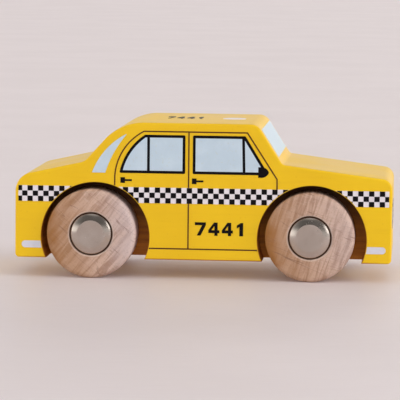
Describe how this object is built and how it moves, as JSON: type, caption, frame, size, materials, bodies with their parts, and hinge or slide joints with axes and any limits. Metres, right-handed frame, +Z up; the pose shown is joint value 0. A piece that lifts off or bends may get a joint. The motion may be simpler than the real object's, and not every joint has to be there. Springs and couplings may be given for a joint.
{
  "type": "toy taxi",
  "caption": "Push-along wooden toy taxi: painted solid block body with printed check band and windows, beech wheels that turn on steel axles with push-on caps.",
  "frame": {"origin": "on the ground plane that the wheels stand on, below the middle of the block's length and width", "axes": "+X towards the front of the car, +Z up, -Y towards the car's right side, which is the side in the picture"},
  "size_m": [0.1508, 0.0702, 0.0625],
  "materials": {
    "yellow_paint": "satin yellow paint over a solid wooden block",
    "axle_steel": "drawn bright steel rod",
    "beech": "bare sanded beech",
    "cap_metal": "bright plated pressed steel",
    "white_ink": "screen-printed white ink",
    "black_ink": "screen-printed black ink",
    "pale_blue_ink": "screen-printed pale blue ink",
    "brown_ink": "screen-printed dark brown ink",
    "grey_ink": "screen-printed pale grey ink",
    "dark_grey_ink": "screen-printed dark grey ink",
    "red_ink": "screen-printed red ink"
  },
  "bodies": {
    "body": {"body_block": "yellow_paint", "check_base_right": "white_ink", "check_base_left": "white_ink", "check_squares_right": "black_ink", "check_squares_left": "black_ink", "window_panes_right": "pale_blue_ink", "window_panes_left": "pale_blue_ink", "window_frames_right": "black_ink", "window_frames_left": "black_ink", "door_lines_right": "brown_ink", "door_lines_left": "brown_ink", "handles_right": "black_ink", "handles_left": "black_ink", "mirror_right": "black_ink", "mirror_left": "black_ink", "bumper_bars_right": "grey_ink", "bumper_bars_left": "grey_ink", "number_right": "black_ink", "number_left": "black_ink", "windscreen": "pale_blue_ink", "back_window": "pale_blue_ink", "roof_number": "black_ink", "roof_disc": "white_ink", "headlamps": "grey_ink", "grille": "dark_grey_ink", "tail_lamps": "red_ink"},
    "front_axle_set": {"front_axle": "axle_steel", "cap_front_right": "cap_metal", "cap_front_left": "cap_metal"},
    "rear_axle_set": {"rear_axle": "axle_steel", "cap_rear_right": "cap_metal", "cap_rear_left": "cap_metal"},
    "front_right_wheel": {"wheel_front_right": "beech"},
    "front_left_wheel": {"wheel_front_left": "beech"},
    "rear_right_wheel": {"wheel_rear_right": "beech"},
    "rear_left_wheel": {"wheel_rear_left": "beech"}
  },
  "joints": [
    {"name": "front_axle_spin", "type": "hinge", "parent": "body", "child": "front_axle_set", "pos_m": [0.0429, 0, 0.0178], "axis": [0, 1, 0], "continuous": true},
    {"name": "rear_axle_spin", "type": "hinge", "parent": "body", "child": "rear_axle_set", "pos_m": [-0.0444, 0, 0.0178], "axis": [0, 1, 0], "continuous": true},
    {"name": "front_right_spin", "type": "hinge", "parent": "front_axle_set", "child": "front_right_wheel", "pos_m": [0.0429, -0.026, 0.0178], "axis": [0, 1, 0], "continuous": true},
    {"name": "front_left_spin", "type": "hinge", "parent": "front_axle_set", "child": "front_left_wheel", "pos_m": [0.0429, 0.026, 0.0178], "axis": [0, 1, 0], "continuous": true},
    {"name": "rear_right_spin", "type": "hinge", "parent": "rear_axle_set", "child": "rear_right_wheel", "pos_m": [-0.0444, -0.026, 0.0178], "axis": [0, 1, 0], "continuous": true},
    {"name": "rear_left_spin", "type": "hinge", "parent": "rear_axle_set", "child": "rear_left_wheel", "pos_m": [-0.0444, 0.026, 0.0178], "axis": [0, 1, 0], "continuous": true}
  ]
}
